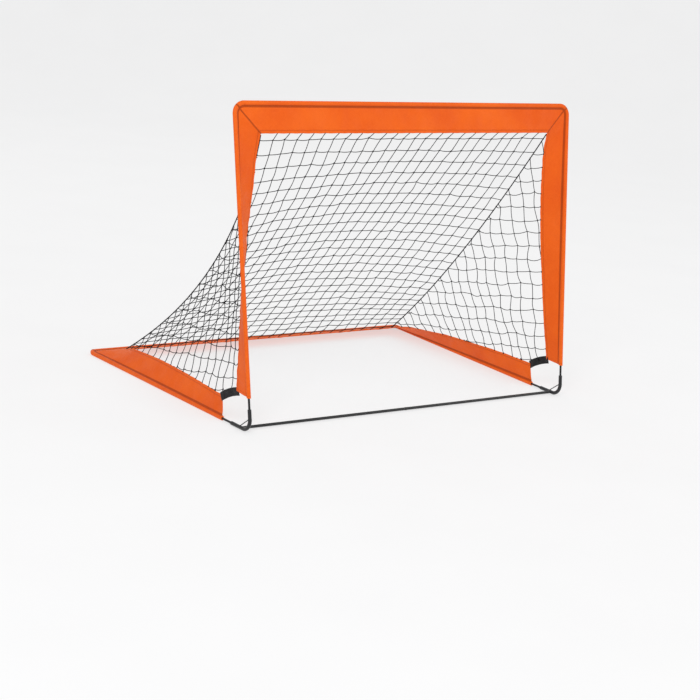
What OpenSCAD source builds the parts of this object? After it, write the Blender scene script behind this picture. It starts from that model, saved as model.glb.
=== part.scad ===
// Fold-up net goal: two bent side frames, three long springy rods between them, sleeves and nets.

/* [Size] */
// Width between the side rods at the top and at the rear, axis to axis
span = 1190; // [600:5:1800]
// Angle by which each side rod runs outwards from the front corner
splay = 2; // [0:0.5:5]
// Length of every side rod, from the front corner's point to the far corner's point
leg = 885; // [500:5:1500]
// Angle inside each front elbow
elbow_angle = 80; // [75:1:95]

/* [Rods and tubes] */
// Rod diameter
rod_d = 6.4; // [4:0.2:10]
// Outside diameter of the front elbows
elbow_od = 10.6; // [8:0.2:16]
// Bore of the elbows and of the hidden corner tubes
tube_id = 7.0; // [5:0.2:12]
// Centre-line bend radius of the front elbows
elbow_bend = 30; // [20:1:60]
// Elbow length up the side, from the corner's point
elbow_up = 62; // [45:1:150]
// Elbow length along the ground, from the corner's point
elbow_along = 92; // [60:1:200]
// Outside diameter of the hidden corner tubes and ferrules
corner_od = 9.6; // [8:0.2:14]
// Centre-line bend radius of the hidden corner tubes
corner_bend = 30; // [20:1:60]
// Length of each leg of a corner tube, from the corner's point
corner_leg = 50; // [40:1:120]
// Length of the two ferrules
ferrule_l = 70; // [30:5:150]
// Outside diameter of the ground bar
bar_d = 8.4; // [6:0.2:14]
// Distance of the ground bar behind the front corners
bar_back = 44; // [38:1:80]
// Diameter of the spigots in the ground bar
spigot_d = 6; // [4:0.2:9]
// Diameter of the brace wire in each elbow
brace_d = 2.8; // [2:0.2:5]

/* [Fabric] */
// Width of the band at the top and rear corners
band = 82; // [50:1:120]
// Width of the band where it ends beside an elbow
band_end = 64; // [40:1:110]
// Thickness of the two-layer band
cloth = 1.6; // [0.8:0.1:4]
// Outside diameter of the rod channel
channel_od = 11.6; // [9:0.2:18]
// Inside diameter of the rod channel
channel_id = 10.2; // [8:0.2:16]
// Turn of each side band between the far corner and the elbow
twist = 86; // [0:1:90]
// Height of the upright band's lower end above the corner's point
sleeve_up = 94; // [70:1:200]
// Distance of the ground band's front end behind the corner's point
sleeve_along = 138; // [100:1:250]
// Tilt of the rear band, inner edge up, where the net pulls it
rear_tilt = 14; // [0:1:40]
// How far the middle of each seam cord is pulled in towards the other side
seam_in = 51; // [0:1:120]
// How far the middle of each seam cord sags below the roof plane
seam_sag = 66; // [0:1:150]
// How far the middle of the roof net sags below the roof plane
roof_sag = 14; // [0:1:150]
// Width of the webbing strap
strap_w = 24; // [10:1:40]
// Thickness of the nets
net_t = 1.6; // [0.8:0.1:4]
// Diameter of the seam cords
cord_d = 3.4; // [2:0.2:8]

/* [Hidden] */

orange = [0.93, 0.38, 0.08];
black = [0.06, 0.06, 0.07];
steel = [0.25, 0.26, 0.28];

function unit(v) = v / norm(v);
function along(u, p) = u - (u * p) * p;

rod_z = channel_od / 2 + 0.15;
flare = sin(splay);
foot_span = span - 2 * leg * flare;
// direction of the left ground rod, front to back
g = [-flare, sqrt(1 - flare * flare), 0];
// direction of the left upright, bottom to top
wy = (cos(elbow_angle) - flare * flare) / g[1];
w = [-flare, wy, sqrt(1 - flare * flare - wy * wy)];
elbow_tan = elbow_bend * tan((180 - elbow_angle) / 2);
y_front = elbow_tan * g[1] - elbow_bend - elbow_od / 2 - 0.15;
y_back = leg * g[1] + channel_od / 2;
y_mid = (y_front + y_back) / 2;
A = [-foot_span / 2, -y_mid, rod_z];
T = A + leg * w;
R = A + leg * g;
ex = [1, 0, 0];
// direction from the top rod down the mouth, and from the rear rod to the front
down = unit([0, -w[1], -w[2]]);
fore = [0, -cos(rear_tilt), sin(rear_tilt)];
corner_tan = corner_bend * tan((180 - acos(flare)) / 2);
// where the three long rods flex beside each side frame
flex_x = 548;
bar_y = A[1] + bar_back * g[1];
// inner corners of the bands, where the diagonal seams start and end
inner_top = T + band * (ex + down);
inner_rear = R + band * (ex + fore);
// upwards from the roof, at right angles to it
roof_up = unit(cross(ex, inner_rear - inner_top));

module in_frame(o, a, b) {
  x = unit(a);
  z = unit(cross(a, b));
  y = cross(z, x);
  translate(o)
    rotate([atan2(y[2], z[2]), -asin(x[2]), atan2(x[1], x[0])])
      children();
}

module bar_between(p, q, d) {
  v = q - p;
  translate(p)
    rotate([0, acos(v[2] / norm(v)), atan2(v[1], v[0])])
      cylinder(h = norm(v), d = d);
}

// solid bent bar with its corner's point at o: legs l1 and l2 along a and b, centre-line radius r;
// the bend is a hair thicker than the legs and overlaps them, so the legs run into it cleanly
module bent_bar(o, a, b, l1, l2, r, d) {
  turn = acos(unit(a) * unit(b));
  t = r / tan(turn / 2);
  in_frame(o, a, b) {
    translate([t - 0.5, 0, 0])
      rotate([0, 90, 0])
        cylinder(h = l1 - t + 0.5, d = d);
    if (l2 > t)
      rotate([0, 0, turn])
        translate([t - 0.5, 0, 0])
          rotate([0, 90, 0])
            cylinder(h = l2 - t + 0.5, d = d);
    translate([t, r, 0])
      rotate([0, 0, 90 + turn])
        rotate_extrude(angle = 180 - turn)
          translate([r, 0])
            circle(d = d + 0.3);
  }
}

module bent_tube(o, a, b, l1, l2, r, od, id) {
  difference() {
    bent_bar(o, a, b, l1, l2, r, od);
    bent_bar(o, a, b, l1 + 1, l2 + 1, r, id);
  }
}

// closed thin sheet over a grid of mid points: rows of equal length, thickness along the given normals
module sheet(rows, normals, t) {
  n = len(rows);
  m = len(rows[0]);
  top = [for (i = [0:n - 1]) for (j = [0:m - 1]) rows[i][j] + normals[i] * t / 2];
  low = [for (i = [0:n - 1]) for (j = [0:m - 1]) rows[i][j] - normals[i] * t / 2];
  k = n * m;
  polyhedron(
    points = concat(top, low),
    faces = concat(
      [for (i = [0:n - 2]) for (j = [0:m - 2]) [i * m + j, i * m + j + 1, (i + 1) * m + j]],
      [for (i = [0:n - 2]) for (j = [0:m - 2]) [i * m + j + 1, (i + 1) * m + j + 1, (i + 1) * m + j]],
      [for (i = [0:n - 2]) for (j = [0:m - 2]) [k + i * m + j, k + (i + 1) * m + j, k + i * m + j + 1]],
      [for (i = [0:n - 2]) for (j = [0:m - 2])
        [k + i * m + j + 1, k + (i + 1) * m + j, k + (i + 1) * m + j + 1]],
      [for (i = [0:n - 2]) [i * m, (i + 1) * m, k + i * m]],
      [for (i = [0:n - 2]) [(i + 1) * m, k + (i + 1) * m, k + i * m]],
      [for (i = [0:n - 2]) [i * m + m - 1, k + i * m + m - 1, (i + 1) * m + m - 1]],
      [for (i = [0:n - 2]) [(i + 1) * m + m - 1, k + i * m + m - 1, k + (i + 1) * m + m - 1]],
      [for (j = [0:m - 2]) [j, k + j, j + 1]],
      [for (j = [0:m - 2]) [j + 1, k + j, k + j + 1]],
      [for (j = [0:m - 2]) [(n - 1) * m + j, (n - 1) * m + j + 1, k + (n - 1) * m + j]],
      [for (j = [0:m - 2]) [(n - 1) * m + j + 1, k + (n - 1) * m + j + 1, k + (n - 1) * m + j]]
    )
  );
}

// the side bands: t runs from the far corner (0) to the elbow (1), v across the band from the rod
function turn_at(t) = twist * pow(t, 0.75);
function band_at(t) = band + (band_end - band) * t;
// across is the way that the band next to it runs inwards at the far corner
function band_dir(d, across, side, t) =
  let (m = ex + across + d)
  unit(cos(turn_at(t)) * unit(m) + sin(turn_at(t)) * unit(along(side, d))) * (t + (1 - t) * norm(m));
// the far end is cut on the mitre, the elbow end slopes up to its inner corner
function band_s(far, near, t, v) = (1 - t) * (leg - v - 1.4) + t * (near + v * 0.22);
function band_point(d, across, side, near, t, v) =
  A + band_s(leg, near, t, v) * d + v * band_dir(d, across, side, t);
steps = 16;

module side_band(d, across, side, near) {
  rows = [for (i = [0:steps]) [
    band_point(d, across, side, near, i / steps, i == 0 ? 13 : 4.6),
    band_point(d, across, side, near, i / steps, band_at(i / steps) / 2),
    band_point(d, across, side, near, i / steps, band_at(i / steps))]];
  normals = [for (i = [0:steps]) unit(cross(band_dir(d, across, side, i / steps), d))];
  difference() {
    union() {
      sheet(rows, normals, cloth);
      bar_between(A + near * d, A + (leg - corner_tan - 0.6) * d, channel_od);
    }
    bar_between(A + (near - 5) * d, A + (leg + 5) * d, channel_id);
  }
}

// bent bar round both far corners, its straight run in one piece; o and legdir are the left corner's
module crossing(o, legdir, reach, d) {
  o2 = [-o[0], o[1], o[2]];
  leg2 = [-legdir[0], legdir[1], legdir[2]];
  bent_bar(o, legdir, ex, reach, span - corner_tan + 0.5, corner_bend, d);
  bent_bar(o2, leg2, -ex, reach, 0, corner_bend, d);
}

// band along a long rod: o is its left corner's point, legdir runs down the left side rod
module cross_band(o, inward, legdir) {
  difference() {
    union() {
      in_frame([0, o[1], o[2]], ex, inward)
        translate([0, 0, -cloth / 2])
          linear_extrude(cloth)
            polygon([
              [-span / 2 + 12.3, 12.3],
              [-span / 2 + 20.5, 7],
              [-span / 2 + corner_tan, 4.6],
              [span / 2 - corner_tan, 4.6],
              [span / 2 - 20.5, 7],
              [span / 2 - 12.3, 12.3],
              [span / 2 - band, band],
              [-span / 2 + band, band]]);
      crossing(o, legdir, corner_tan + 0.3, channel_od);
    }
    crossing(o, legdir, corner_tan + 9, channel_id);
  }
}

module elbow_left() {
  color(steel)
    bent_tube(A, g, w, elbow_along, elbow_up, elbow_bend, elbow_od, tube_id);
}

module elbow_right() {
  mirror([1, 0, 0])
    elbow_left();
}

module brace_wire_left() {
  p = A + 37 * w;
  q = A + 56 * g;
  v = unit(q - p);
  color(steel)
    difference() {
      bar_between(p, q, brace_d);
      bent_bar(A, g, w, elbow_along, elbow_up, elbow_bend, elbow_od + 0.1);
    }
}

module brace_wire_right() {
  mirror([1, 0, 0])
    brace_wire_left();
}

module bar_spigot_left() {
  x0 = A[0] - bar_back * flare;
  color(steel)
    difference() {
      union() {
        bar_between([x0, bar_y, rod_z], [-flex_x - 0.2, bar_y, rod_z], bar_d);
        bar_between([x0, bar_y, rod_z], [-flex_x + 32, bar_y, rod_z], spigot_d);
      }
      bar_between(A, A + elbow_along * g, elbow_od + 0.1);
    }
}

module bar_spigot_right() {
  mirror([1, 0, 0])
    bar_spigot_left();
}

module upright_rod_left() {
  color(black)
    bar_between(A + (elbow_tan + 1) * w, A + (leg - corner_tan - 1) * w, rod_d);
}

module upright_rod_right() {
  mirror([1, 0, 0])
    upright_rod_left();
}

module ground_rod_left() {
  color(black)
    bar_between(A + (elbow_tan + 1) * g, A + (leg - corner_tan - 1) * g, rod_d);
}

module ground_rod_right() {
  mirror([1, 0, 0])
    ground_rod_left();
}

module top_corner_left() {
  color(steel)
    bent_tube(T, -w, ex, corner_leg, corner_leg, corner_bend, corner_od, tube_id);
}

module top_corner_right() {
  o = [-T[0], T[1], T[2]];
  color(steel)
    bent_tube(o, -ex, [w[0], -w[1], -w[2]], corner_leg, corner_leg, corner_bend, corner_od, tube_id);
}

module rear_corner_left() {
  color(steel)
    bent_tube(R, -g, ex, corner_leg, corner_leg, corner_bend, corner_od, tube_id);
}

module rear_corner_right() {
  mirror([1, 0, 0])
    rear_corner_left();
}

module top_rod_left() {
  color(black)
    bar_between([-flex_x - 2, T[1], T[2]], [-3, T[1], T[2]], rod_d);
}

module top_rod_right() {
  mirror([1, 0, 0])
    top_rod_left();
}

module ferrule_at(p) {
  color(steel)
    difference() {
      bar_between(p - ferrule_l / 2 * ex, p + ferrule_l / 2 * ex, corner_od);
      bar_between(p - ferrule_l * ex, p + ferrule_l * ex, tube_id);
    }
}

module top_ferrule() {
  ferrule_at([0, T[1], T[2]]);
}

module rear_rod_left() {
  color(black)
    bar_between([-flex_x - 2, R[1], R[2]], [-3, R[1], R[2]], rod_d);
}

module rear_rod_right() {
  mirror([1, 0, 0])
    rear_rod_left();
}

module rear_ferrule() {
  ferrule_at([0, R[1], R[2]]);
}

module ground_bar_left() {
  color(black)
    difference() {
      bar_between([-flex_x, bar_y, rod_z], [-5, bar_y, rod_z], bar_d);
      bar_between([-flex_x - 1, bar_y, rod_z], [0, bar_y, rod_z], spigot_d + 0.6);
    }
}

module ground_bar_right() {
  mirror([1, 0, 0])
    ground_bar_left();
}

module ground_bar_joiner() {
  color(black)
    union() {
      bar_between([-4.9, bar_y, rod_z], [4.9, bar_y, rod_z], bar_d);
      bar_between([-35, bar_y, rod_z], [35, bar_y, rod_z], spigot_d);
    }
}

module top_sleeve() {
  color(orange)
    cross_band(T, down, -w);
}

module upright_sleeve_left() {
  color(orange)
    side_band(w, down, g, sleeve_up);
}

module upright_sleeve_right() {
  mirror([1, 0, 0])
    upright_sleeve_left();
}

module rear_sleeve() {
  color(orange)
    cross_band(R, fore, -g);
}

module ground_sleeve_left() {
  color(orange)
    side_band(g, fore, w, sleeve_along);
}

module ground_sleeve_right() {
  mirror([1, 0, 0])
    ground_sleeve_left();
}

strap_top = band_point(w, down, g, sleeve_up, 1, band_end);
strap_low = band_point(g, fore, w, sleeve_along, 1, band_end);

module strap_left() {
  v = unit(strap_low - strap_top);
  across = unit(along(w + g, v));
  color(black)
    in_frame(strap_top + 2.5 * v + 2 * across, v, across)
      translate([0, -strap_w * 0.35, -0.9])
        cube([norm(strap_low - strap_top) - 5, strap_w, 1.8]);
}

module strap_right() {
  mirror([1, 0, 0])
    strap_left();
}

// the left seam cord's line: t runs down it from the top band to the rear band
function seam_at(t) =
  inner_top + (inner_rear - inner_top) * t + 4 * t * (1 - t) * (seam_in * ex - seam_sag * roof_up);
// a point of the roof net: c runs from -1 at the left seam to 1 at the right one
function roof_at(t, c) =
  let (p = inner_top + (inner_rear - inner_top) * t - 4 * t * (1 - t)
    * (roof_sag + (seam_sag - roof_sag) * c * c) * roof_up)
  [-c * (seam_at(t)[0] + 3), p[1], p[2]];

module roof_net() {
  rows = [for (i = [0:20]) [for (j = [0:8]) roof_at(0.0026 + 0.9948 * i / 20, j / 4 - 1)]];
  normals = [for (i = [0:20]) roof_up];
  color(black)
    sheet(rows, normals, net_t);
}

// the side net: t runs down the upright band's inner edge, past the strap, and back along the ground
function edge_at(t) =
  t < 0.5
    ? band_point(w, down, g, sleeve_up, 2 * t, band_at(2 * t) + 2.5)
    : band_point(g, fore, w, sleeve_along, 2 - 2 * t, band_at(2 - 2 * t) + 2.5);

module side_net_left() {
  rows = [for (i = [1:23]) let (
    t = i / 24,
    e = edge_at(t) + (t > 0.45 && t < 0.55 ? 12 : 0) * unit(w + g),
    s = seam_at(t) - [3, 0, 0]
  ) [s, (s + e) / 2, e]];
  normals = [for (i = [1:23]) ex];
  color(black)
    sheet(rows, normals, net_t);
}

module side_net_right() {
  mirror([1, 0, 0])
    side_net_left();
}

module seam_cord_left() {
  chord = norm(inner_rear - inner_top);
  pull = seam_in * ex - seam_sag * roof_up;
  h = norm(pull);
  r = (chord * chord / 4 + h * h) / (2 * h);
  half = asin((chord / 2 - 6) / r);
  color(black)
    in_frame((inner_top + inner_rear) / 2 + (h - r) * pull / h, pull, inner_rear - inner_top)
      rotate([0, 0, -half])
        rotate_extrude(angle = 2 * half)
          translate([r, 0])
            circle(d = cord_d);
}

module seam_cord_right() {
  mirror([1, 0, 0])
    seam_cord_left();
}

elbow_left();
elbow_right();
brace_wire_left();
brace_wire_right();
bar_spigot_left();
bar_spigot_right();
upright_rod_left();
upright_rod_right();
ground_rod_left();
ground_rod_right();
top_corner_left();
top_corner_right();
rear_corner_left();
rear_corner_right();
top_rod_left();
top_rod_right();
top_ferrule();
rear_rod_left();
rear_rod_right();
rear_ferrule();
ground_bar_left();
ground_bar_right();
ground_bar_joiner();
top_sleeve();
upright_sleeve_left();
upright_sleeve_right();
rear_sleeve();
ground_sleeve_left();
ground_sleeve_right();
strap_left();
strap_right();
roof_net();
side_net_left();
side_net_right();
seam_cord_left();
seam_cord_right();
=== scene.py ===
import math

import bpy
import numpy as np
from mathutils import Matrix, Vector


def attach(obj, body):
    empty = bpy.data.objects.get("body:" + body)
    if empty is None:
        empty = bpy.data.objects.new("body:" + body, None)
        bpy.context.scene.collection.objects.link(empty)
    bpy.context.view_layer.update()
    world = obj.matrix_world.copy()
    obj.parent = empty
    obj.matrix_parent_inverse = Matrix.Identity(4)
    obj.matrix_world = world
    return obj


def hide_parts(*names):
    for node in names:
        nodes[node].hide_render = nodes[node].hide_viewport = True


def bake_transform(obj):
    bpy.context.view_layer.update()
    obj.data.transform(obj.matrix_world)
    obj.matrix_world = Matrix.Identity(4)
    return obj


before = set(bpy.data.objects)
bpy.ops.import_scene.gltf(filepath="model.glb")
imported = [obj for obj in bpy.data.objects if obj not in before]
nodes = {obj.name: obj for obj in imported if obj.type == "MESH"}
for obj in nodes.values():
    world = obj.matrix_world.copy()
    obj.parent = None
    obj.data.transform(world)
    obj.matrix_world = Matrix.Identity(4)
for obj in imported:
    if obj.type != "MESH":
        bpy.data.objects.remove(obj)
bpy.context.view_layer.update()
rng = np.random.default_rng(11)

# ---------------------------------------------------------------- sizes, in metres, as in the part's source
span = 1.190
splay = math.radians(2)
leg = 0.885
elbow_angle = math.radians(80)
elbow_y = -0.4452709
rod_z = 0.00595
rod_r = 0.0032
corner_bend = 0.030
# where the long rods' pieces and the ground bar's halves start, beside the side frames
flex_x = 0.548
ferrule_half = 0.035
ferrule_r = 0.0048
bar_back = 0.044
bar_r = 0.0042
collar_half = 0.0062

# bands: width at the mitre and at the elbow end, the rod's channel and how the side bands turn and end
band = 0.082
band_end = 0.064
channel_r = 0.0058
twist = math.radians(86)
sleeve_up = 0.094
sleeve_along = 0.138
end_slope = 0.22
rear_tilt = math.radians(14)
# lines of stitching: the channel's from the rod's middle, the hem's from the inner edge
seam_v = 0.0092
hem_v = 0.008
# half the length of the top band's middle piece, between the two top rods
middle_half = 0.12

# netting, seam cords and straps
seam_in = 0.051
seam_sag = 0.066
roof_sag = 0.014
mesh_pitch = 0.040
twine_r = 0.0011
cord_r = 0.0017
strap_wide = 0.024
strap_thick = 0.0020
strap_bow = -0.004
strap_lap = 0.006
strap_back = 0.004


def unit(v):
    """v divided by its length, along the last axis."""
    v = np.asarray(v, float)
    return v / np.linalg.norm(v, axis=-1, keepdims=True)


def smooth(x):
    """0 below 0, 1 above 1, and 3x^2 - 2x^3 between."""
    x = np.clip(x, 0, 1)
    return x * x * (3 - 2 * x)


flare = math.sin(splay)
ground_run = np.array([-flare, math.sqrt(1 - flare**2), 0])
lean = (math.cos(elbow_angle) - flare**2) / ground_run[1]
upright_run = np.array([-flare, lean, math.sqrt(1 - flare**2 - lean**2)])
elbow_point = np.array([-(span / 2 - leg * flare), elbow_y, rod_z])
top_point = elbow_point + leg * upright_run
rear_point = elbow_point + leg * ground_run
ex = np.array([1.0, 0, 0])
down = unit([0, -upright_run[1], -upright_run[2]])
fore = np.array([0, -math.cos(rear_tilt), math.sin(rear_tilt)])
bar_y = elbow_y + bar_back * ground_run[1]
inner_top = top_point + band * (ex + down)
inner_rear = rear_point + band * (ex + fore)
roof_up = unit(np.cross(ex, inner_rear - inner_top))
flip = np.array([-1.0, 1, 1])


# ---------------------------------------------------------------- camera
def make_camera():
    """Camera in front of the mouth and to its left, a little above the top band, turned slightly about its
    own axis."""
    yaw, pitch, roll = (math.radians(x) for x in (36.77, -14.17, 5.21))
    ahead = Vector((math.sin(yaw) * math.cos(pitch), math.cos(yaw) * math.cos(pitch), math.sin(pitch)))
    level = Vector((math.cos(yaw), -math.sin(yaw), 0))
    over = level.cross(ahead)
    right = level * math.cos(roll) + over * math.sin(roll)
    above = over * math.cos(roll) - level * math.sin(roll)
    data = bpy.data.cameras.new("camera")
    data.lens, data.sensor_width = 90.9, 36
    data.clip_end = 100
    camera = bpy.data.objects.new("camera", data)
    bpy.context.scene.collection.objects.link(camera)
    m = Matrix((right, above, -ahead)).transposed().to_4x4()
    m.translation = (-3.106, -4.261, 1.416)
    camera.matrix_world = m
    bpy.context.scene.camera = camera


make_camera()


# ---------------------------------------------------------------- meshes
def new_piece(name, points, faces, uv=None, attributes=None):
    """Mesh piece from points and equal-sided or mixed faces; uv and attributes hold one value for each
    point."""
    mesh = bpy.data.meshes.new(name)
    sizes = np.concatenate([np.full(len(f), f.shape[1], np.int32) for f in faces])
    loops = np.concatenate([f.ravel() for f in faces]).astype(np.int32)
    mesh.vertices.add(len(points))
    mesh.vertices.foreach_set("co", np.asarray(points, np.float32).ravel())
    mesh.loops.add(len(loops))
    mesh.loops.foreach_set("vertex_index", loops)
    mesh.polygons.add(len(sizes))
    mesh.polygons.foreach_set("loop_start", np.concatenate([[0], np.cumsum(sizes)[:-1]]).astype(np.int32))
    mesh.polygons.foreach_set("loop_total", sizes)
    mesh.polygons.foreach_set("use_smooth", np.ones(len(sizes), bool))
    if uv is not None:
        layer = mesh.uv_layers.new(name="lay")
        layer.data.foreach_set("uv", np.asarray(uv, np.float32)[loops].ravel())
    for key, values in (attributes or {}).items():
        a = mesh.attributes.new(key, "FLOAT", "POINT")
        a.data.foreach_set("value", np.asarray(values, np.float32).ravel())
    mesh.update(calc_edges=True)
    mesh.validate()
    piece = bpy.data.objects.new(name, mesh)
    bpy.context.scene.collection.objects.link(piece)
    return piece


def outward(points, faces):
    """The faces, turned over together if the volume that they enclose comes out negative."""
    total = 0.0
    for f in faces:
        a = points[f[:, 0]]
        for k in range(1, f.shape[1] - 1):
            total += float((a * np.cross(points[f[:, k]], points[f[:, k + 1]])).sum())
    return faces if total > 0 else [f[:, ::-1] for f in faces]


def loop_grid(n, m):
    """Quads of a grid of n rings of m points, closed round each ring."""
    i, j = np.meshgrid(np.arange(n - 1), np.arange(m), indexing="ij")
    k = (j + 1) % m
    return np.stack([i * m + j, i * m + k, (i + 1) * m + k, (i + 1) * m + j], -1).reshape(-1, 4)


def tube(name, path, radius, sides=20):
    """Tube round a path: ring k is path point k plus radius times a unit vector that turns about the path.
    Both ends are closed. radius may be one value for each path point."""
    path = np.asarray(path, float)
    tangent = unit(np.gradient(path, axis=0))
    ref = np.array([0.31, 0.52, 0.79])
    a = unit(np.cross(tangent, ref))
    b = np.cross(tangent, a)
    r = np.broadcast_to(np.asarray(radius, float), len(path)).copy()
    r[0] *= 0.8
    r[-1] *= 0.8
    turn = np.linspace(0, 2 * math.pi, sides, endpoint=False)
    ring = np.cos(turn)[:, None] * a[:, None] + np.sin(turn)[:, None] * b[:, None]
    points = path[:, None] + r[:, None, None] * ring
    along = np.concatenate([[0], np.cumsum(np.linalg.norm(np.diff(path, axis=0), axis=1))])
    uv = np.stack(np.broadcast_arrays(along[:, None], np.linspace(0, 1, sides)[None]), -1)
    n = len(path)
    faces = [loop_grid(n, sides), np.arange(sides)[None, ::-1], (n - 1) * sides + np.arange(sides)[None]]
    points = points.reshape(-1, 3)
    return new_piece(name, points, outward(points, faces), uv.reshape(-1, 2))


# ---------------------------------------------------------------- sewn bands
channel_slack = 0.0002
# each kind of band has its own slight creases
crease_seed = {"top": 0.0, "rear": 1.7, "upright": 3.1, "ground": 4.6}


def half_thick(v, width):
    """Half the band's thickness at a distance v from the rod's middle: round over the rod, drawn in at the
    channel's seam, slightly full between the seams, thicker over the folded hem and rounded at the edge."""
    r = channel_r + channel_slack
    flat = 0.0006 + 0.0005 * smooth((v - seam_v) / 0.006)
    u = np.clip((v - 0.6 * r) / (seam_v - 0.6 * r), 0, 1)
    slope = 0.8 * r * (1 - smooth(u)) + 0.0006 * smooth(u)
    over = np.sqrt(np.maximum(r * r - np.minimum(v, 0.6 * r) ** 2, 1e-9))
    h = np.where(v < 0.6 * r, over, np.where(v < seam_v, slope, flat))
    edge = width - v
    h = h * (1 - 0.40 * np.exp(-(((edge - hem_v) / 0.0011) ** 2)))
    h = np.where(v > seam_v, h + 0.0003 * smooth((hem_v - edge) / 0.002), h)
    return np.where(v > seam_v, h * np.sqrt(np.clip(edge / 0.0015, 0.02, 1)), h)


def round_corner(a, v):
    """Along and across distances near a corner: lines closer to the rod than the bend radius follow arcs
    about the bend's centre, and the mitre line stays where it is at 45 degrees."""
    r = corner_bend
    inside = (v < r) & (a < r)
    x = np.clip((r - a) / np.maximum(r - v, 1e-6), 0, 1)
    q = x * math.pi / 4
    return np.where(inside, r - (r - v) * np.sin(q), a), np.where(inside, r - (r - v) * np.cos(q), v)


def sewn_band(name, corner, run, across, length, mirrored, side=None, begin=None):
    """Sewn band round a rod. Row t goes from the mitre (0) to the far end (1), v runs across from the rod.
    A point lies at corner + a*run + b*direction(t), with a = (1-t)*v + t*(length - slope*v). With side, the
    band narrows, its far end slopes and its direction turns from the mitre's plane towards side by twist *
    t^0.75. With begin, it is the straight part from there to length, a = begin + t*(length - begin)."""
    if begin is None:
        first = np.linspace(0, 0.05, 22)
        rest = np.linspace(0.05, length, max(8, int((length - 0.05) / 0.0036)))[1:-1]
        t = np.concatenate([first, rest, [length - 0.0001, length]]) / length
    else:
        t = np.concatenate([[0, 0.0004], np.linspace(0.01, 0.99, 66), [0.9996, 1]])
    mitre = ex + across - run
    if side is None:
        direction = np.broadcast_to(across, (len(t), 3)).copy()
    else:
        s = unit(side - (side @ run) * run)
        angle = twist * t**0.75
        direction = unit(np.cos(angle)[:, None] * unit(mitre) + np.sin(angle)[:, None] * s)
        direction *= (t + (1 - t) * np.linalg.norm(mitre))[:, None]
    width = band + ((band if side is None else band_end) - band) * t
    slope = 0.0 if side is None else end_slope
    r = channel_r + channel_slack
    arc = -r * np.cos(np.radians([0, 14, 30, 48, 66, 84, 104, 124]))
    neck = np.array([0.0044, 0.0054, 0.0064, 0.0073, 0.0081, 0.0087, seam_v, 0.0100, 0.0115, 0.0134])
    near = np.concatenate([arc, neck])
    share = np.linspace(0, 1, 17)[1:]
    hem = np.array([0.0094, 0.0086, hem_v, 0.0074, 0.0064, 0.0048, 0.0030, 0.0016, 0.0007, 0.0])
    wide = width[:, None]
    flat_end = wide - 0.0104
    strips = np.broadcast_to(near, (len(t), len(near))), near[-1] + (flat_end - near[-1]) * share, wide - hem
    v = np.concatenate(strips, axis=1)
    if begin is None:
        a = (1 - t)[:, None] * v + t[:, None] * (length - slope * v)
    else:
        a = np.broadcast_to((begin + (length - begin) * t)[:, None], v.shape)
    from_mitre = a - v
    u = a if side is not None else (a - span / 2) * (-1 if mirrored else 1)
    seed = crease_seed[name.split("_")[0]]
    # broad, middling and fine creases, then puckers along the stitching and the net's pull on the hem
    inner = smooth((v - 0.010) / 0.012)
    w1 = np.sin(2 * math.pi * (u / 0.211 + 2.1 * v + 0.17 * seed) + 0.8 * np.sin(9.3 * u + seed))
    w2 = np.sin(2 * math.pi * (u / 0.094 - 4.6 * v + 0.31 * seed) + 1.1 * np.sin(15.7 * u + 2 * seed))
    w3 = np.sin(2 * math.pi * (u / 0.047 + 7.5 * v) + 2.0 * np.sin(23 * u - seed))
    lift = inner * (0.0010 * w1 + 0.0006 * w2 * (0.4 + 0.6 * np.sin(5.1 * u + seed) ** 2) + 0.00022 * w3)
    pucker = 0.00034 * np.sin(2 * math.pi * u / 0.0098 + 1.6 * np.sin(61 * u + seed))
    lift = lift + pucker * np.exp(-np.abs(v - seam_v) / 0.005) * smooth((v - 0.006) / 0.004)
    hem_pucker = 0.00028 * np.sin(2 * math.pi * u / 0.0112 + 1.9 * np.sin(47 * u + seed))
    lift = lift + hem_pucker * np.exp(-np.abs(wide - v - hem_v) / 0.006)
    pull = np.cos(2 * math.pi * u / mesh_pitch)
    lift = lift + 0.0005 * pull * np.exp(-(wide - v) / 0.012)
    fold = np.exp(-from_mitre / 0.05) * np.sin(2 * math.pi * v / 0.033 + seed) * 0.0009 * inner
    lift = (lift + fold) * smooth(from_mitre / 0.012)
    v_shape = v - 0.0006 * (0.5 - 0.5 * pull) * smooth((v - wide + 0.03) / 0.03) * smooth(from_mitre / 0.02)
    a_round, b_round = round_corner(a, v_shape)
    normal = unit(np.cross(direction, run))
    middle = corner + a_round[..., None] * run + b_round[..., None] * direction[:, None]
    middle = middle + lift[..., None] * normal[:, None]
    h = half_thick(v, wide)
    h = h * (1 - 0.35 * np.exp(-from_mitre / 0.0016) * smooth((v - 0.010) / 0.004))
    upper = middle + h[..., None] * normal[:, None]
    lower = middle - h[..., None] * normal[:, None]
    points = np.concatenate([upper, lower[:, ::-1]], axis=1)
    n, m = points.shape[:2]
    if mirrored:
        points = points * flip
    k = np.arange(m // 2 - 1)
    cap = np.stack([k, k + 1, m - 2 - k, m - 1 - k], -1)
    faces = [np.concatenate([loop_grid(n, m), cap[:, ::-1], (n - 1) * m + cap])]

    def both(x):
        return np.concatenate([x, x[:, ::-1]], axis=1).ravel()

    # the hem across the far end: a metre is added where the band has none
    tail = length - slope * v - a + (1 if side is None else 0)
    uv = np.stack([both(u), both(v)], -1)
    points = points.reshape(-1, 3)
    kept = {"hem": both(wide - v), "mitre": both(from_mitre), "tail": both(tail)}
    return new_piece(name, points, outward(points, faces), uv, kept)


# ---------------------------------------------------------------- nets
def seam_line(t):
    """The left seam: straight from the top band to the rear band, pulled in and down by a parabola."""
    t = np.asarray(t, float)[..., None]
    return inner_top + (inner_rear - inner_top) * t + 4 * t * (1 - t) * (seam_in * ex - seam_sag * roof_up)


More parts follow.
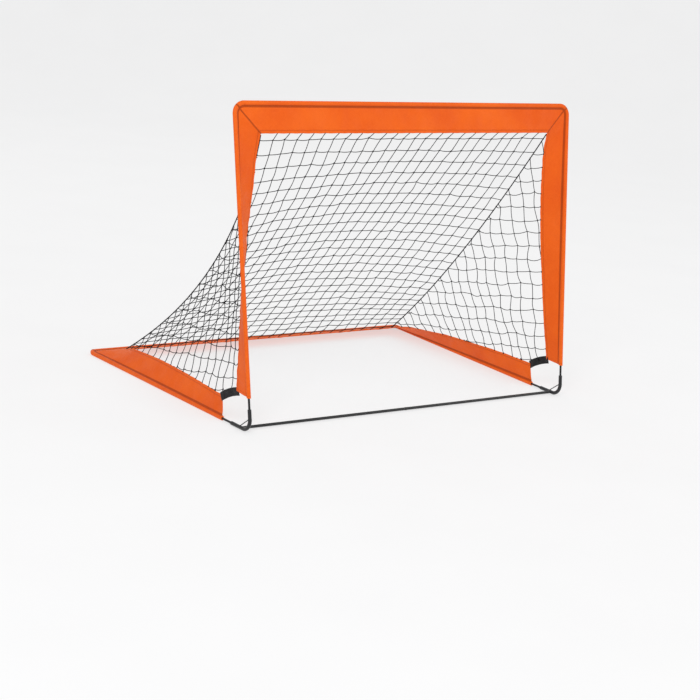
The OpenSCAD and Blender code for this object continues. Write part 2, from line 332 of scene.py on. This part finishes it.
def roof_point(t, c):
    """Roof net point: t down the slope, c from -1 at the left seam to 1 at the right; it sags least in the
    middle."""
    t, c = np.broadcast_arrays(np.asarray(t, float), np.asarray(c, float))
    sag = 4 * t * (1 - t) * (roof_sag + (seam_sag - roof_sag) * c * c)
    p = inner_top + (inner_rear - inner_top) * t[..., None] - sag[..., None] * roof_up
    x = -c * seam_line(t)[..., 0]
    return np.stack([x, p[..., 1], p[..., 2]], -1)


def knot_shape():
    """Unit ball of 24 faces, from 6 steps of longitude and 4 of latitude: its points, triangles and
    quads."""
    lat = np.radians([-45, 0, 45])[:, None]
    lon = np.linspace(0, 2 * math.pi, 6, endpoint=False)
    rings = np.broadcast_arrays(np.cos(lat) * np.cos(lon), np.cos(lat) * np.sin(lon), np.sin(lat))
    points = np.concatenate([[[0, 0, -1.0]], np.stack(rings, -1).reshape(-1, 3), [[0, 0, 1.0]]])
    k = np.arange(6)
    after = (k + 1) % 6
    low = np.stack([0 * k, 1 + after, 1 + k], -1)
    high = np.stack([13 + k, 13 + after, 0 * k + 19], -1)
    return points, np.concatenate([low, high]), 1 + loop_grid(3, 6)


def twine_net(name, edges, bows, knots):
    """Twine between pairs of points, each bowed by its own vector as 4s(1-s), with a small lump at every
    knot."""
    steps, sides = 5, 5
    s = np.linspace(0, 1, steps)
    a, b = edges[:, 0], edges[:, 1]
    line = a[:, None] + (b - a)[:, None] * s[None, :, None] + bows[:, None] * (4 * s * (1 - s))[None, :, None]
    tangent = unit(np.gradient(line, axis=1))
    ref = unit(np.array([0.61, 0.33, -0.72]))
    n1 = unit(np.cross(tangent, ref))
    n2 = np.cross(tangent, n1)
    turn = np.linspace(0, 2 * math.pi, sides, endpoint=False)
    ring = np.cos(turn)[:, None] * n1[:, :, None] + np.sin(turn)[:, None] * n2[:, :, None]
    points = line[:, :, None] + twine_r * ring
    offset = (np.arange(len(edges)) * steps * sides)[:, None, None]
    quads = (loop_grid(steps, sides)[None] + offset).reshape(-1, 4)[:, ::-1]
    caps = np.concatenate([np.arange(sides)[None], (steps - 1) * sides + np.arange(sides)[None, ::-1]])
    caps = (caps[None] + offset).reshape(-1, sides)
    long = np.linalg.norm(b - a, axis=1)
    round_twine = np.linspace(0, 1, sides)[None, None]
    uv = np.stack(np.broadcast_arrays(long[:, None, None] * s[None, :, None], round_twine), -1)
    points, uv = points.reshape(-1, 3), uv.reshape(-1, 2)
    lump, tris, lump_quads = knot_shape()
    turns = rng.uniform(0, 2 * math.pi, (len(knots), 3))
    cx, sx = np.cos(turns), np.sin(turns)
    spans = (1.7, 2.1), (1.5, 1.9), (2.2, 2.9)
    size = np.stack([rng.uniform(low, high, len(knots)) for low, high in spans], -1)
    p = lump[None] * size[:, None] * twine_r
    x = p[..., 0] * cx[:, None, 0] - p[..., 1] * sx[:, None, 0]
    y = p[..., 0] * sx[:, None, 0] + p[..., 1] * cx[:, None, 0]
    y, z = y * cx[:, None, 1] - p[..., 2] * sx[:, None, 1], y * sx[:, None, 1] + p[..., 2] * cx[:, None, 1]
    p = np.stack([x, y, z], -1) + knots[:, None]
    base = len(points) + (np.arange(len(knots)) * len(lump))[:, None, None]
    tris = (tris[None] + base).reshape(-1, 3)
    lump_quads = (lump_quads[None] + base).reshape(-1, 4)
    points = np.concatenate([points, p.reshape(-1, 3)])
    uv = np.concatenate([uv, np.tile(lump[:, :2] * 0.003, (len(knots), 1))])
    return new_piece(name, points, [quads, caps, tris, lump_quads], uv)


def roof_twines():
    """Edges, bows and knots of the roof net. Knots lie on a grid of rows down the slope, t = e + 0.2e(1-e)
    between the first and last rows, and even columns across it. Short ties join the first and last rows to
    the hems."""
    cols, rows = 25, 25
    first_row, last_row = 0.021, 1 - 0.018
    c = np.linspace(-1, 1, cols + 1)
    even = np.arange(rows) / (rows - 1)
    t = first_row + (last_row - first_row) * (even + 0.2 * even * (1 - even))
    tt, cc = np.meshgrid(t, c, indexing="ij")
    free = np.abs(cc) < 0.999
    jitter = rng.normal(0, 1, (2,) + tt.shape) * free
    wander = np.cos(math.pi * np.arange(cols + 1) + 0.7 * np.arange(rows)[:, None])
    tt = tt + 0.0009 * jitter[0] + 0.0007 * wander
    cc = np.where(free, cc + 0.0018 * jitter[1], cc)
    knots = roof_point(tt, cc)
    knots = knots + roof_up * (rng.normal(0, 0.0012, tt.shape) * free)[..., None]
    slope, up = unit(inner_rear - inner_top), np.array([0, 0, 1])
    edges = [np.stack([knots[:, :-1].reshape(-1, 3), knots[:, 1:].reshape(-1, 3)], 1)]
    count = (len(edges[0]), 1)
    bows = [slope * rng.normal(0.0009, 0.0006, count) - up * rng.uniform(0, 0.0012, count)]
    inside = free[:-1].ravel()
    edges.append(np.stack([knots[:-1].reshape(-1, 3)[inside], knots[1:].reshape(-1, 3)[inside]], 1))
    count = (len(edges[1]), 1)
    bows.append(ex * rng.normal(0, 0.0009, count) - up * rng.uniform(0, 0.0014, count))
    for row, line, shift, inwards in ((0, 0.0, 0.011, down), (-1, 1.0, -0.008, fore)):
        hem = roof_point(np.full(cols - 1, line), cc[row, 1:-1])
        hem = hem + ex * (shift + rng.normal(0, 0.0015, (cols - 1, 1))) - 0.002 * inwards
        edges.append(np.stack([knots[row, 1:-1], hem], 1))
        bows.append(rng.normal(0, 0.0006, (cols - 1, 3)))
    return np.concatenate(edges), np.concatenate(bows), knots.reshape(-1, 3)


def place(p):
    """(across, down) of points of the roof net, both from -1 to 1."""
    d = inner_rear - inner_top
    t = ((p - inner_top) @ d) / (d @ d)
    return p[..., 0] / -inner_top[0], 2 * t - 1


def part_of_roof(p):
    """0 left, 1 right, 2 top left, 3 top right, 4 rear left, 5 rear right: the roof cut along its two
    diagonals and down the middle."""
    c, d = place(p)
    side = np.where(c < 0, 0, 1)
    return np.where(np.abs(c) > np.abs(d), side, np.where(d < 0, 2 + side, 4 + side))


def side_edge():
    """The left side net's sewn edge, as points from the top inner corner down the upright band, across the
    strap and back along the ground band to the rear inner corner, and the edge's two points at the
    strap."""
    t = np.linspace(0, 1, 90)
    out = []
    for run, across, side, near in (
        (upright_run, down, ground_run, sleeve_up),
        (ground_run, fore, upright_run, sleeve_along),
    ):
        m = ex + across + run
        s = unit(side - (side @ run) * run)
        q = twist * t**0.75
        reach = (t + (1 - t) * np.linalg.norm(m))[:, None]
        d = unit(np.cos(q)[:, None] * unit(m) + np.sin(q)[:, None] * s) * reach
        v = band + (band_end - band) * t
        along = (1 - t) * (leg - v) + t * (near + v * end_slope)
        out.append(elbow_point + along[:, None] * run + (v - 0.001)[:, None] * d)
    return np.concatenate([out[0], out[1][::-1]]), out[0][-1], out[1][-1]


def side_twines(mirrored):
    """Side net: one family of lines parallel to the upright and one square to it, each cut where it crosses
    the closed outline of seam and sewn edge. A knot's place in x is a weighted mean of ruled lines between
    the two."""
    low, _, _ = side_edge()
    seam = seam_line(np.linspace(0, 1, len(low)))
    square = unit(ground_run - (ground_run @ upright_run) * upright_run)
    basis = np.linalg.inv(np.stack([square[1:], upright_run[1:]], 1))

    def flat(p):
        return (p - elbow_point)[..., 1:] @ basis.T

    r = np.linspace(0, 1, 12)
    ruled = seam[:, None] * (1 - r)[None, :, None] + low[:, None] * r[None, :, None]
    ruled_f, ruled_x = flat(ruled).reshape(-1, 2), ruled[..., 0].ravel()
    outline = np.concatenate([low, seam[::-1], low[:1]])
    outline_f = flat(outline)

    def lift(f):
        w = np.exp(-((f - ruled_f) ** 2).sum(-1) / (2 * 0.016**2)) + 1e-12
        p = elbow_point + f[0] * square + f[1] * upright_run
        return np.array([(w * ruled_x).sum() / w.sum(), p[1], p[2]])

    def cuts(family, value):
        """Crossings of a line with the outline, in order along the line."""
        d = outline_f[:, family] - value
        k = np.nonzero((d[:-1] < 0) != (d[1:] < 0))[0]
        q = (d[k] / (d[k] - d[k + 1]))[:, None]
        points = outline[k] * (1 - q) + outline[k + 1] * q
        return points[np.argsort(flat(points)[:, 1 - family])]

    first, pitch = np.array([0.45, 0.5]) * mesh_pitch, mesh_pitch
    lines = range(-2, 24)
    edges, bows, knots, table = [], [], [], {}

    def knot(i, j):
        if (i, j) not in table:
            wave = np.array([0.0035 * math.sin(1.9 * j + 0.8 * i), 0.0030 * math.sin(1.3 * i + 2.1 * j)])
            p = lift(first + np.array([i, j]) * pitch + wave + rng.normal(0, 0.0014, 2))
            table[i, j] = p + ex * rng.normal(0, 0.0015)
            knots.append(table[i, j])
        return table[i, j]

    for family in (0, 1):
        for i in lines:
            ends = cuts(family, first[family] + i * pitch)
            for lo, hi in zip(ends[0::2], ends[1::2]):
                start, stop = flat(lo)[1 - family], flat(hi)[1 - family]
                if stop - start < 0.010:
                    continue
                chain = [lo]
                for j in lines:
                    if start + 0.009 < first[1 - family] + j * pitch < stop - 0.009:
                        chain.append(knot(i, j) if family == 0 else knot(j, i))
                chain.append(hi)
                knots.extend([lo, hi])
                for a, b in zip(chain[:-1], chain[1:]):
                    edges.append((a, b))
                    sway = rng.normal(0, 0.0011, 3)
                    sway[2] -= 0.0024 if family == 1 else 0.0
                    sway[1] += 0.0016 * math.sin(7 * i) if family == 0 else 0.0
                    bows.append(sway)
    edges, bows, knots = np.array(edges), np.array(bows), np.array(knots)
    if mirrored:
        edges, bows, knots = edges * flip, bows * flip, knots * flip
    return edges, bows, knots


# ---------------------------------------------------------------- webbing straps
def webbing(name, start, end, mirrored):
    """Flat strap from start to end, bowed across its width by strap_bow times 4s(1-s)."""
    n, m = 40, 9
    s = np.linspace(0, 1, n)
    along = unit(end - start)
    outwards = unit(-(upright_run + ground_run))
    across = unit(outwards - (outwards @ along) * along)
    normal = np.cross(along, across)
    line = start + (end - start) * s[:, None] + strap_bow * across * (4 * s * (1 - s))[:, None]
    c = np.linspace(-0.5, 0.5, m)
    half = strap_thick / 2 * np.clip(1.35 - np.abs(c) * 1.1, 0.75, 1.15)
    ripple = 0.0005 * np.sin(2 * math.pi * s * 2.3)[:, None] * np.ones(m)
    middle = line[:, None] + (c * strap_wide)[None, :, None] * across + ripple[..., None] * normal
    upper, lower = middle + half[None, :, None] * normal, middle - half[None, :, None] * normal
    points = np.concatenate([upper, lower[:, ::-1]], 1)
    k = np.arange(m - 1)
    cap = np.stack([k, k + 1, 2 * m - 2 - k, 2 * m - 1 - k], -1)
    faces = [np.concatenate([loop_grid(n, 2 * m), cap[:, ::-1], (n - 1) * 2 * m + cap])]
    long = np.linalg.norm(end - start)
    uu = np.broadcast_to((s * long)[:, None], (n, 2 * m))
    vv = np.broadcast_to(np.concatenate([c, c[::-1]]) * strap_wide, (n, 2 * m))
    tail = np.minimum(uu, long - uu)
    if mirrored:
        points = points * flip
    points, uv = points.reshape(-1, 3), np.stack([uu, vv], -1).reshape(-1, 2)
    return new_piece(name, points, outward(points, faces), uv, {"tail": tail.ravel()})


# ---------------------------------------------------------------- finishes
class Finish:
    """A material and the few node steps that its patterns need."""

    def __init__(self, name, colour, rough, metal=0.0, coat=0.0, sheen=0.0, specular=0.5):
        self.material = bpy.data.materials.new(name)
        self.material.use_nodes = True
        self.tree = self.material.node_tree
        self.shader = self.tree.nodes["Principled BSDF"]
        self.shader.inputs["Base Color"].default_value = (*colour, 1)
        self.shader.inputs["Roughness"].default_value = rough
        self.shader.inputs["Metallic"].default_value = metal
        self.shader.inputs["Coat Weight"].default_value = coat
        self.shader.inputs["Coat Roughness"].default_value = 0.18
        self.shader.inputs["Sheen Weight"].default_value = sheen
        self.shader.inputs["Sheen Roughness"].default_value = 0.45
        self.shader.inputs["Specular IOR Level"].default_value = specular

    def put(self, value, socket):
        if isinstance(value, (int, float)):
            socket.default_value = value
        elif isinstance(value, tuple):
            socket.default_value = (*value, 1) if len(socket.default_value) == 4 else value
        else:
            self.tree.links.new(value, socket)

    def math(self, operation, a, b=0.0, c=0.0):
        n = self.tree.nodes.new("ShaderNodeMath")
        n.operation = operation
        for value, socket in zip((a, b, c), n.inputs):
            self.put(value, socket)
        return n.outputs[0]

    def own(self):
        return self.tree.nodes.new("ShaderNodeTexCoord").outputs["Object"]

    def lay(self):
        n = self.tree.nodes.new("ShaderNodeUVMap")
        n.uv_map = "lay"
        split = self.tree.nodes.new("ShaderNodeSeparateXYZ")
        self.tree.links.new(n.outputs[0], split.inputs[0])
        return split.outputs[0], split.outputs[1]

    def held(self, name):
        n = self.tree.nodes.new("ShaderNodeAttribute")
        n.attribute_name = name
        return n.outputs["Fac"]

    def noise(self, scale, detail=3.0, where=None, rough=0.5):
        n = self.tree.nodes.new("ShaderNodeTexNoise")
        n.inputs["Scale"].default_value = scale
        n.inputs["Detail"].default_value = detail
        n.inputs["Roughness"].default_value = rough
        self.put(where if where is not None else self.own(), n.inputs["Vector"])
        return n.outputs["Fac"]

    def stretched(self, scales):
        n = self.tree.nodes.new("ShaderNodeMapping")
        n.inputs["Scale"].default_value = scales
        self.tree.links.new(self.own(), n.inputs["Vector"])
        return n.outputs[0]

    def span(self, value, low, high, to_low, to_high):
        n = self.tree.nodes.new("ShaderNodeMapRange")
        for v, socket in zip((value, low, high, to_low, to_high), n.inputs):
            self.put(v, socket)
        return n.outputs[0]

    def mix(self, share, a, b, blend="MIX"):
        n = self.tree.nodes.new("ShaderNodeMix")
        n.data_type, n.blend_type = "RGBA", blend
        self.put(share, n.inputs[0])
        self.put(a, n.inputs[6])
        self.put(b, n.inputs[7])
        return n.outputs[2]

    def colour(self, value):
        self.put(value, self.shader.inputs["Base Color"])

    def rough(self, value):
        self.put(value, self.shader.inputs["Roughness"])

    def bump(self, *layers):
        last = None
        for height, strength, distance in layers:
            n = self.tree.nodes.new("ShaderNodeBump")
            n.inputs["Strength"].default_value = strength
            n.inputs["Distance"].default_value = distance
            self.put(height, n.inputs["Height"])
            if last is not None:
                self.tree.links.new(last, n.inputs["Normal"])
            last = n.outputs[0]
        self.tree.links.new(last, self.shader.inputs["Normal"])

    def near(self, value, at, half):
        """1 where value is within half of at, falling to 0 by twice that."""
        return self.span(self.math("ABSOLUTE", self.math("SUBTRACT", value, at)), half, 2 * half, 1.0, 0.0)

    def weave(self, u, v, pitch):
        """Plain weave: the product of two sines of the two thread directions."""
        a = self.math("SINE", self.math("MULTIPLY", u, 2 * math.pi / pitch))
        b = self.math("SINE", self.math("MULTIPLY", v, 2 * math.pi / pitch))
        return self.math("MULTIPLY_ADD", self.math("MULTIPLY", a, b), 0.5, 0.5)

    def stitches(self, u, line, pitch=0.0036):
        """Dashes of thread along u where line is 1."""
        dash = self.math("LESS_THAN", self.math("FRACT", self.math("MULTIPLY", u, 1 / pitch)), 0.66)
        return self.math("MULTIPLY", dash, line)


def orange_polyester():
    f = Finish("orange_polyester", (0.86, 0.12, 0.008), 0.62, sheen=0.03, specular=0.16)
    u, v = f.lay()
    hem, mitre, tail = f.held("hem"), f.held("mitre"), f.held("tail")
    weave = f.weave(u, v, 0.0011)
    channel_line = f.near(v, seam_v, 0.0005)
    hem_line = f.near(hem, hem_v, 0.0005)
    tail_line = f.near(tail, 0.007, 0.0005)
    mitre_top = f.near(mitre, 0.0032, 0.0005)
    sewn = f.math("MAXIMUM", channel_line, f.math("MAXIMUM", hem_line, tail_line))
    thread = f.math("MAXIMUM", f.stitches(u, sewn), f.stitches(v, mitre_top))
    # the wide bands along the channel's seam, the mitre line and the hem's seam are sunk in the bump, and the
    # colour is darkened there as painted shade
    groove_painted_shade = f.math("MAXIMUM", f.near(v, seam_v, 0.0021), f.near(mitre, 0.0, 0.0015))
    sunk_seams_painted_shade = f.math("MAXIMUM", f.near(hem, hem_v, 0.0014), groove_painted_shade)
    cloudy = f.span(f.noise(9.0, 4.0), 0.3, 0.7, 0.0, 1.0)
    fine = f.span(f.noise(160.0, 4.0), 0.3, 0.7, 0.0, 1.0)
    c = f.mix(cloudy, (0.80, 0.098, 0.004), (0.90, 0.138, 0.007))
    c = f.mix(f.math("MULTIPLY", fine, 0.22), c, (0.95, 0.175, 0.014))
    c = f.mix(f.math("MULTIPLY", f.span(weave, 0.1, 0.55, 1.0, 0.0), 0.26), c, (0.50, 0.052, 0.002))
    # painted shade: darker along the channel's seam and the mitre, and more faintly along the hem's seam
    c = f.mix(f.math("MULTIPLY", groove_painted_shade, 0.62), c, (0.26, 0.034, 0.002))
    c = f.mix(f.math("MULTIPLY", sunk_seams_painted_shade, 0.18), c, (0.36, 0.045, 0.002))
    c = f.mix(f.math("MULTIPLY", thread, 0.55), c, (0.55, 0.062, 0.003))
    crown = f.span(v, -0.004, 0.004, 0.16, 0.0)
    edge = f.span(hem, 0.0, 0.0016, 0.30, 0.0)
    c = f.mix(f.math("MULTIPLY", f.math("MAXIMUM", crown, edge), fine), c, (1.0, 0.26, 0.04))
    f.colour(c)
    f.rough(f.span(f.noise(42.0, 3.0), 0.3, 0.7, 0.50, 0.70))
    raised = f.math("SUBTRACT", thread, sunk_seams_painted_shade)
    f.bump((weave, 0.18, 0.0003), (f.noise(310.0, 2.0), 0.12, 0.0004), (raised, 0.5, 0.0006))
    return f.material


def black_twine():
    f = Finish("twisted_black_twine", (0.008, 0.008, 0.009), 0.62, specular=0.12)
    u, v = f.lay()
    turn = f.math("MULTIPLY", v, 4 * math.pi)
    strand = f.math("SINE", f.math("MULTIPLY_ADD", u, 2 * math.pi / 0.0026, turn))
    f.colour(f.mix(f.span(strand, -1.0, 1.0, 0.0, 1.0), (0.003, 0.003, 0.0035), (0.014, 0.014, 0.016)))
    f.rough(f.span(f.noise(120.0, 2.0), 0.3, 0.7, 0.45, 0.7))
    f.bump((strand, 0.5, 0.0003))
    return f.material


def braided_cord():
    f = Finish("braided_black_cord", (0.01, 0.01, 0.011), 0.62, specular=0.15)
    u, v = f.lay()
    a = f.math("SINE", f.math("MULTIPLY_ADD", u, 2 * math.pi / 0.0042, f.math("MULTIPLY", v, 6 * math.pi)))
    b = f.math("SINE", f.math("MULTIPLY_ADD", u, 2 * math.pi / 0.0042, f.math("MULTIPLY", v, -6 * math.pi)))
    braid = f.math("MAXIMUM", a, b)
    f.colour(f.mix(f.span(braid, -0.6, 1.0, 0.0, 1.0), (0.003, 0.003, 0.0035), (0.018, 0.018, 0.020)))
    f.rough(f.span(f.noise(200.0, 2.0), 0.3, 0.7, 0.5, 0.75))
    f.bump((braid, 0.6, 0.0004))
    return f.material


def black_strap():
    f = Finish("ribbed_black_webbing", (0.01, 0.01, 0.011), 0.64, sheen=0.03, specular=0.2)
    u, v = f.lay()
    rib = f.math("SINE", f.math("MULTIPLY", v, 2 * math.pi / 0.0016))
    zig = f.math("PINGPONG", f.math("MULTIPLY", v, 1 / 0.0016), 1.0)
    pick = f.math("SINE", f.math("MULTIPLY_ADD", u, 2 * math.pi / 0.0019, f.math("MULTIPLY", zig, 2.6)))
    cloth = f.math("MULTIPLY_ADD", f.math("MULTIPLY", rib, pick), 0.5, 0.5)
    tail = f.held("tail")
    tack = f.stitches(v, f.near(f.math("PINGPONG", tail, 0.0045), 0.0022, 0.0004), 0.0026)
    tack = f.math("MULTIPLY", tack, f.math("LESS_THAN", tail, 0.013))
    c = f.mix(cloth, (0.003, 0.003, 0.0035), (0.018, 0.018, 0.020))
    f.colour(f.mix(f.math("MULTIPLY", tack, 0.8), c, (0.06, 0.06, 0.066)))
    f.rough(f.span(f.noise(90.0, 3.0), 0.3, 0.7, 0.5, 0.75))
    f.bump((cloth, 0.6, 0.0005), (tack, 0.6, 0.0006))
    return f.material


def gloss_black(name, base, rough, coat, scale):
    """Black paint or powder coat: orange-peel bump, faint rubs and dust, and paler spots where it is
    handled."""
    f = Finish(name, base, rough, coat=coat, specular=0.35)
    rub = f.noise(scale * 0.06, 5.0, rough=0.65)
    dust = f.span(f.noise(scale * 0.4, 4.0), 0.45, 0.75, 0.0, 1.0)
    bright = tuple(2.0 * b + 0.006 for b in base)
    c = f.mix(f.math("MULTIPLY", dust, 0.35), base, bright)
    f.colour(f.mix(f.span(rub, 0.62, 0.74, 0.0, 0.5), c, tuple(3.0 * b + 0.02 for b in base)))
    f.rough(f.span(rub, 0.3, 0.75, rough - 0.07, rough + 0.16))
    f.bump((f.noise(scale, 2.0), 0.16, 0.0004), (f.noise(scale * 4, 2.0), 0.08, 0.0002))
    return f.material


def bare_steel():
    f = Finish("plain_steel_tube", (0.5, 0.51, 0.53), 0.34, metal=1.0)
    grain = f.noise(900.0, 4.0, f.stretched((0.06, 1.0, 1.0)))
    f.colour(f.mix(grain, (0.40, 0.41, 0.43), (0.62, 0.63, 0.65)))
    f.rough(f.span(grain, 0.3, 0.7, 0.26, 0.44))
    f.bump((grain, 0.2, 0.0002))
    return f.material


def glass_rod():
    f = Finish("black_glass_fibre", (0.009, 0.009, 0.010), 0.33, coat=0.1, specular=0.3)
    streak = f.noise(520.0, 4.0, f.stretched((0.3, 0.3, 0.05)))
    f.colour(f.mix(streak, (0.004, 0.004, 0.0045), (0.018, 0.018, 0.020)))
    f.rough(f.span(streak, 0.3, 0.7, 0.25, 0.42))
    f.bump((streak, 0.25, 0.0003))
    return f.material


ORANGE, TWINE, CORD, STRAP = orange_polyester(), black_twine(), braided_cord(), black_strap()
POWDER = gloss_black("elbow_powder_coat", (0.012, 0.012, 0.014), 0.32, 0.15, 700.0)
BAR = gloss_black("ground_bar_paint", (0.009, 0.009, 0.010), 0.30, 0.15, 600.0)
STEEL, ROD = bare_steel(), glass_rod()


def finish_with(piece, material):
    piece.data.materials.clear()
    piece.data.materials.append(material)
    return piece


for node, thing in nodes.items():
    if node.startswith(("elbow", "brace")):
        paint = POWDER
    elif node.startswith("bar_spigot") or node.startswith("ground_bar"):
        paint = BAR
    elif "corner" in node or "ferrule" in node:
        paint = STEEL
    elif "rod" in node:
        paint = ROD
    elif "sleeve" in node:
        paint = ORANGE
    elif "strap" in node:
        paint = STRAP
    else:
        paint = CORD if "cord" in node else TWINE
    for spot in thing.material_slots:
        spot.material = paint
    thing.data.polygons.foreach_set("use_smooth", np.ones(len(thing.data.polygons), bool))


# ---------------------------------------------------------------- the goal, piece by piece
def sign(side):
    return -1.0 if side == "left" else 1.0


def long_tube(name, x0, x1, corner, radius, steps, sides):
    """Tube along X from x0 to x1 at a corner's depth and height."""
    x = np.linspace(min(x0, x1), max(x0, x1), steps)
    path = np.stack([x, np.full_like(x, corner[1]), np.full_like(x, corner[2])], -1)
    return tube(name, path, radius, sides)


for side in ("left", "right"):
    mirrored = side == "right"
    s = sign(side)
    own = side + "_side"
    # bands on the side rods
    for kind, corner, run, across, other, near in (
        ("upright", top_point, -upright_run, down, ground_run, sleeve_up),
        ("ground", rear_point, -ground_run, fore, upright_run, sleeve_along),
    ):
        piece = sewn_band(f"{kind}_band_{side}", corner, run, across, leg - near, mirrored, other)
        finish_with(piece, ORANGE)
        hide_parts(f"{kind}_sleeve_{side}")
        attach(piece, own)
    # bands on the long rods and the rods inside them, up to the middle or, at the top, up to the middle piece
    long_bands = ("top", top_point, down, middle_half), ("rear", rear_point, fore, 0.0)
    for kind, corner, across, stop in long_bands:
        begin, end = (s * -inner_top[0], corner[1], corner[2]), (s * stop, corner[1], corner[2])
        piece = sewn_band(f"{kind}_band_{side}", corner, ex, across, span / 2 - stop, mirrored)
        finish_with(piece, ORANGE)
        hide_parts(f"{kind}_sleeve")
        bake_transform(piece)
        rod_name = f"{kind}_rod_{side}_bowed"
        rod = long_tube(rod_name, s * (flex_x + 0.002), s * (stop or 0.003), corner, rod_r, 60, 14)
        finish_with(rod, ROD)
        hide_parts(f"{kind}_rod_{side}")
        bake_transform(rod)
    shell_name = f"rear_ferrule_{side}_half"
    shell = long_tube(shell_name, s * ferrule_half, s * 0.0002, rear_point, ferrule_r, 12, 18)
    finish_with(shell, STEEL)
    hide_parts("rear_ferrule")
    begin, end = (s * -inner_top[0], *rear_point[1:]), (0, *rear_point[1:])
    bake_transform(shell)
    # ground bar
    x = np.concatenate([[-flex_x], np.linspace(-flex_x + 0.0012, -collar_half, 110), [-0.005]])
    path = np.stack([-s * x, np.full_like(x, bar_y), np.full_like(x, rod_z)], -1)
    half_bar = tube(f"ground_bar_{side}_bowed", path, bar_r, 24)
    finish_with(half_bar, BAR)
    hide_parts(f"ground_bar_{side}")
    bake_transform(half_bar)
    # seam cord
    t = np.linspace(0.004, 0.996, 320)
    line = seam_line(t) * (flip if mirrored else 1)
    cord = tube(f"seam_braid_{side}", line, cord_r * (1 + 0.06 * np.sin(np.arange(320) * math.pi / 2)), 10)
    finish_with(cord, CORD)
    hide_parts(f"seam_cord_{side}")
    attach(cord, own)
    # side net
    e, b, k = side_twines(mirrored)
    net = twine_net(f"side_mesh_{side}", e, b, k)
    finish_with(net, TWINE)
    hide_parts(f"side_net_{side}")
    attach(net, own)
    # strap
    _, start, end = side_edge()
    out = unit(upright_run + ground_run)
    v = unit(end - start)
    lap, back = strap_lap * v, strap_back * out
    strap = webbing(f"webbing_strap_{side}", start - lap - back, end + lap - back, mirrored)
    finish_with(strap, STRAP)
    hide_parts(f"strap_{side}")
    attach(strap, own)

# roof net in six parts; the left and right parts go with the side frames, as the seams do
edges, bows, knots = roof_twines()
which_edge, which_knot = part_of_roof(edges.mean(1)), part_of_roof(knots)
roof_parts = (
    ("left", "left", None),
    ("right", "right", None),
    ("top_left", "left", "top"),
    ("top_right", "right", "top"),
    ("rear_left", "left", "rear"),
    ("rear_right", "right", "rear"),
)
for number, (label, side, rod) in enumerate(roof_parts):
    ours = which_edge == number
    net = twine_net(f"roof_mesh_{label}", edges[ours], bows[ours], knots[which_knot == number])
    finish_with(net, TWINE)
    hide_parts("roof_net")
    if rod is None:
        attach(net, side + "_side")
    else:
        corner = (inner_top if rod == "top" else inner_rear) * (flip if side == "right" else 1)
        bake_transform(net)

# the middle of the top band, its rod and its ferrule
band_from, band_to = span / 2 - middle_half, span / 2 + middle_half
top_middle = sewn_band("top_band_middle", top_point, ex, down, band_to, False, begin=band_from)
top_rod_middle = long_tube("top_rod_middle_bowed", -middle_half, middle_half, top_point, rod_r, 40, 14)
top_ferrule = long_tube("top_ferrule_bowed", -ferrule_half, ferrule_half, top_point, ferrule_r, 24, 18)
for piece, paint, slot, replaced in (
    (top_middle, ORANGE, "orange_fabric", ["top_sleeve"]),
    (top_rod_middle, ROD, "rod_black", ["top_rod_left", "top_rod_right"]),
    (top_ferrule, STEEL, "bare_steel", ["top_ferrule"]),
):
    finish_with(piece, paint)
    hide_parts(*replaced)
    begin, end = (-middle_half, *top_point[1:]), (middle_half, *top_point[1:])
    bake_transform(piece)

# collar over the ground bar's middle joint
x = np.array([-collar_half, -0.0058, -0.0030, 0.0, 0.0030, 0.0058, collar_half])
path = np.stack([x, np.full_like(x, bar_y), np.full_like(x, rod_z)], -1)
collar = tube("ground_bar_collar", path, np.array([0.9, 1.03, 1.05, 1.05, 1.05, 1.03, 0.9]) * bar_r, 24)
finish_with(collar, BAR)
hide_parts("ground_bar_joiner")
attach(collar, "bar_left")

# ---------------------------------------------------------------- floor, backdrop and light
floor = Finish("studio_floor", (0.86, 0.86, 0.86), 0.9, specular=0.1)
pale = floor.mix(floor.noise(3.0, 3.0), (0.345, 0.345, 0.346), (0.355, 0.355, 0.356))
floor.colour(pale)
floor.put(pale, floor.shader.inputs["Emission Color"])
floor.shader.inputs["Emission Strength"].default_value = 1.68
q = np.linspace(0, 1, 40)
reach = np.concatenate([np.linspace(-9, 5.0, 20), 5.0 + 3.0 * np.sin(q * math.pi / 2)])
height = np.concatenate([np.zeros(20), 3.0 * (1 - np.cos(q * math.pi / 2))])
reach, height = np.append(reach, 8.0), np.append(height, 9.0)
across_x = np.array([-14.0, 14.0])
heading = math.radians(-36.77)
px = across_x[None, :] * math.cos(heading) - reach[:, None] * math.sin(heading)
py = across_x[None, :] * math.sin(heading) + reach[:, None] * math.cos(heading)
ground = np.stack([px, py, np.broadcast_to(height[:, None], px.shape)], -1)
i = np.arange(len(reach) - 1)
sweep = np.stack([2 * i, 2 * i + 1, 2 * i + 3, 2 * i + 2], -1)
backdrop = new_piece("studio_sweep", ground.reshape(-1, 3), [sweep])
backdrop.data.materials.append(floor.material)

world = bpy.data.worlds.new("soft_room")
bpy.context.scene.world = world
world.use_nodes = True
world.node_tree.nodes["Background"].inputs["Color"].default_value = (1, 1, 1, 1)
world.node_tree.nodes["Background"].inputs["Strength"].default_value = 0.62


def softbox(name, place_at, aim, size, power):
    """Square area light at a place, turned to face a point."""
    data = bpy.data.lights.new(name, "AREA")
    data.size, data.energy = size, power
    lamp = bpy.data.objects.new(name, data)
    bpy.context.scene.collection.objects.link(lamp)
    lamp.location = place_at
    lamp.rotation_euler = (Vector(aim) - Vector(place_at)).to_track_quat("-Z", "Y").to_euler()


softbox("key_light", (-3.2, -3.4, 4.2), (0, 0, 0.4), 2.6, 120)
softbox("fill_light", (3.6, -3.0, 2.4), (0, 0, 0.4), 2.6, 40)
softbox("back_light", (0.5, 3.5, 4.0), (0, 0, 0.3), 2.5, 20)
bpy.context.scene.view_settings.view_transform = "Standard"
